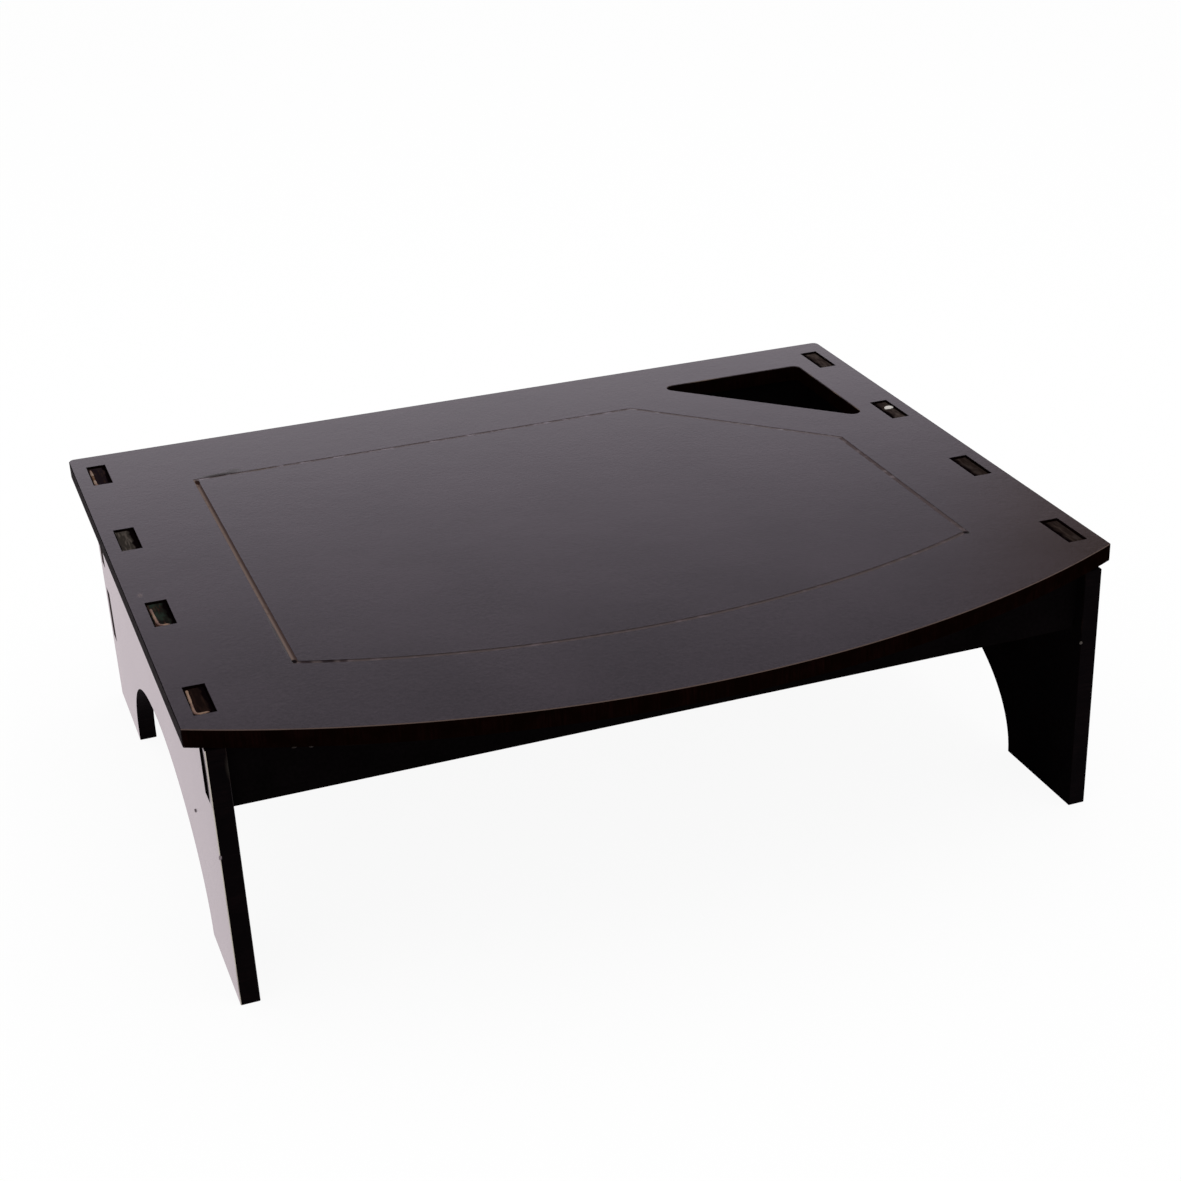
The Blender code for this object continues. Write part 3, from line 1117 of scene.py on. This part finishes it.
@dataclass
class PhotoCamera:
    """The camera of the photograph, found from the stand's own corners."""

    location: Triple = (-0.2824, -0.8390, 0.50496)
    yaw: float = 0.360167
    pitch: float = 0.487539
    roll: float = -0.030764
    focal_px: float = 2142.6
    centre_px: Pair = (60.0, 100.0)
    sensor_mm: float = 36.0
    clip_start: float = 0.05

    def build(self) -> bpy.types.Object:
        """Places the camera and makes it the scene's."""
        forward = Vector((
            math.sin(self.yaw) * math.cos(self.pitch),
            math.cos(self.yaw) * math.cos(self.pitch),
            -math.sin(self.pitch),
        ))
        level_right = Vector((math.cos(self.yaw), -math.sin(self.yaw), 0.0))
        level_up = level_right.cross(forward)
        right = math.cos(self.roll) * level_right + math.sin(self.roll) * level_up
        up = -math.sin(self.roll) * level_right + math.cos(self.roll) * level_up
        lens = bpy.data.cameras.new("photo_camera")
        lens.sensor_width = self.sensor_mm
        lens.lens = self.focal_px / IMAGE_SIDE * self.sensor_mm
        lens.shift_x = -self.centre_px[0] / IMAGE_SIDE
        lens.shift_y = self.centre_px[1] / IMAGE_SIDE
        lens.clip_start = self.clip_start
        holder = placed("photo_camera", lens)
        turn = Matrix((right, up, -forward)).transposed()
        holder.matrix_world = Matrix.Translation(self.location) @ turn.to_4x4()
        bpy.context.scene.camera = holder
        return holder


@dataclass
class Stand:
    """The five boards with the finishes and marks of each."""

    top_mm: float = 124.5
    panel_outer_mm: float = 193.0
    panel_front_mm: float = -129.29
    sheet_mm: float = 8.0

    def line_marks(self) -> tuple[Mark, ...]:
        """The burns where the beam pierced the film at the corners of its outline, and one flare."""
        top = self.top_mm
        return (
            Mark((-149.4, -62.0, top), (0.9, 30.0, 1.0), "#1c1415", 0.5, 0.5, 0.8),
            Mark((-136.0, 120.6, top), (13.0, 2.4, 1.0), "#1c1413", 0.8, 0.5, 0.8),
            Mark((-129.0, 123.4, top), (5.0, 2.2, 1.0), "#1c1616", 0.6, 0.3, 0.8),
            Mark((-116.0, 119.0, top), (8.0, 1.8, 1.0), "#4b4038", 0.6, 0.1),
            Mark((-147.7, 115.8, top), (1.4, 3.9, 1.0), "#24130e", 1.0, 0.75, 0.4),
            Mark((-148.2, -86.4, top), (1.4, 2.3, 1.0), "#0e080b", 1.0, 0.75, 0.4),
            Mark((150.0, -87.3, top), (1.6, 2.6, 1.0), "#120b0e", 1.0, 0.75, 0.4),
        )

    def board(self) -> TopBoard:
        """The top board: film, char, an arris toasted along the front with a painted highlight, and the
        scored line's sides in painted light and shade.
        """
        marks = self.line_marks()
        chips = (
            Mark((-193.9, 0.5, self.top_mm), (1.6, 3.0, 1.0), "#4a3c3c", 0.6, 0.2),
            Mark((-44.0, 16.8, self.top_mm), (4.0, 6.0, 1.0), "#191316", 0.5, 0.04),
        )
        film = SatinFilm("satin_film_top", marks=marks + chips)
        char = CharredEdge("laser_charred_edge_top", Axis.Z, specular=0.025)
        inner_char = CharredEdge("laser_charred_inner_cut", Axis.Z, "#060201", "#110504", specular=0.0)
        # Toasted board with a painted highlight: the front arris's film and bare tones are paler than the
        # film, for the light caught along the edge.
        front_arris = ToastedArris("toasted_front_arris_painted_highlight", "#382e2e", "#4e403b", 0.25)
        # Toasted board with a painted highlight along the rim of the hole.
        hole_arris = ToastedArris("toasted_hole_arris_painted_highlight", "#2c2426", "#54473e", 0.45)
        dashes = ((-144.2, 3.4, "#241b1e"), (-135.9, 3.6, "#1c1417"), (-130.2, 2.4, "#2a2123"))
        lingered = tuple(
            Mark((middle, -91.0, self.top_mm), (reach, 9.0, 1.0), shade, 0.9, 0.3, 0.5)
            for middle, reach, shade in dashes
        )
        # Each side of the scored outline has its own tones. They are painted light and shade, set by how
        # the light falls on that side's walls.
        left = ScoredLine(
            "scored_line_left", "#3e302d", "#62534d", "#4a3b36", 0.58, (-1.0, 0.0), 147.85, marks=marks
        )
        front = ScoredLine(
            "scored_line_front", "#453c3c", "#453c3c", "#53494c", 0.52, marks=(*marks, *lingered)
        )
        right, corner, back = (
            ScoredLine("scored_line_" + side, tone, tone, patch, patch_from, marks=marks)
            for side, tone, patch, patch_from in (
                ("right", "#443a3b", "#62595c", 0.55),
                ("corner", "#5a5153", "#746d72", 0.52),
                ("back", "#584f51", "#766e75", 0.5),
            )
        )
        return TopBoard("top_board", {
            Zone.FILM: film, Zone.BACK: self.back, Zone.EDGE: char, Zone.INNER_CUT: inner_char,
            Zone.ARRIS: self.arris, Zone.HOLE_ARRIS: hole_arris,
            Zone.FRONT_ARRIS: front_arris, Zone.LINE_LEFT: left, Zone.LINE_FRONT: front,
            Zone.LINE_RIGHT: right, Zone.LINE_CORNER: corner, Zone.LINE_BACK: back,
        })

    @property
    def back(self) -> ShadedMattBack:
        """The unpolished side of every board, near-black as painted shade."""
        return ShadedMattBack("hardboard_back_painted_shade")

    @property
    def arris(self) -> ToastedArris:
        """The smoked, matt corner of most cuts."""
        return ToastedArris("smoked_arris", specular=0.0)

    def left_panel(self) -> SidePanel:
        """The left panel, whose film has a scorched finger at the notch with painted shade beside the
        notch, whose outer front arris carries a painted highlight, and whose front edge has a painted
        highlight at its inner corner.
        """
        outer, front = -self.panel_outer_mm, self.panel_front_mm
        marks = (
            Mark((outer, front + 2.9, 104.0), (2.0, 5.2, 15.5), "#3d322e", 0.8, 0.14, 0.3),
            # Painted shade, dark and dull, on the film of the finger next to the notch, where the gap lies
            # in shade.
            Mark((outer, front + 5.4, 104.0), (2.0, 2.6, 14.0), "#140b09", 1.0, 0.75, 0.5),
        )
        film = SatinFilm("satin_film_left", marks=marks)
        inner = outer + self.sheet_mm
        # A painted highlight: a grey-brown spot on the front edge and its arris at the inner corner, near
        # the top.
        rubbed = Mark((inner, front, 107.5), (1.7, 1.5, 7.0), "#1f1b18", 1.0, soft=0.9)
        char = CharredEdge("laser_charred_edge_left", Axis.X, "#040203", "#0a0405", marks=(rubbed,))
        # Painted highlight: the outer front arris is coloured near-white, for the grazing sheen of the face
        # catching it.
        pale = ToastedArris("pale_painted_highlight_arris", "#877e76", "#b9b1a5", 0.3)
        ruddy = ToastedArris("ruddy_arris", "#0a0607", "#1f110d", 0.5, marks=(rubbed,))
        return SidePanel("left_side_panel", {
            Zone.FILM: film, Zone.BACK: self.back, Zone.EDGE: char, Zone.ARRIS: self.arris,
            Zone.FRONT_ARRIS: pale, Zone.INNER_FRONT_ARRIS: ruddy,
        })

    def right_panel(self) -> SidePanel:
        """The right panel."""
        return SidePanel("right_side_panel", {
            Zone.FILM: SatinFilm("satin_film_right"), Zone.BACK: self.back,
            Zone.EDGE: CharredEdge("laser_charred_edge_right", Axis.X, "#040203", "#0a0405"),
            Zone.ARRIS: self.arris, Zone.FRONT_ARRIS: self.arris, Zone.INNER_FRONT_ARRIS: self.arris,
        }, outward=1.0)

    def crosspieces(self) -> list[Crosspiece]:
        """The front rail and the rear panel."""
        finishes = {
            Zone.BACK: self.back,
            Zone.EDGE: CharredEdge("laser_charred_edge_cross", Axis.Y),
            Zone.TAB_END: CharredEdge("burnt_tab_end_cross", Axis.Z, "#1a110d", "#3a2a20"),
            Zone.ARRIS: self.arris,
        }
        film = SatinFilm("satin_film_rear")
        return [
            Crosspiece("front_rail", finishes),
            Crosspiece("rear_panel", {Zone.FILM: film, **finishes}, outward=1.0),
        ]

    def build(self) -> None:
        """Dresses the five boards."""
        for board in (self.board(), self.left_panel(), self.right_panel(), *self.crosspieces()):
            board.dress(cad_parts)


def main() -> None:
    """Dresses the boards, adds what lies in their slots, builds the studio and places the camera."""
    logging.basicConfig(level=logging.INFO, format="%(name)s: %(message)s")
    Stand().build()
    SlottedTabs().build()
    Specks().build()
    Studio().build()
    PhotoCamera().build()
    bpy.context.scene.view_settings.view_transform = "Standard"


if __name__ == "__main__":
    main()
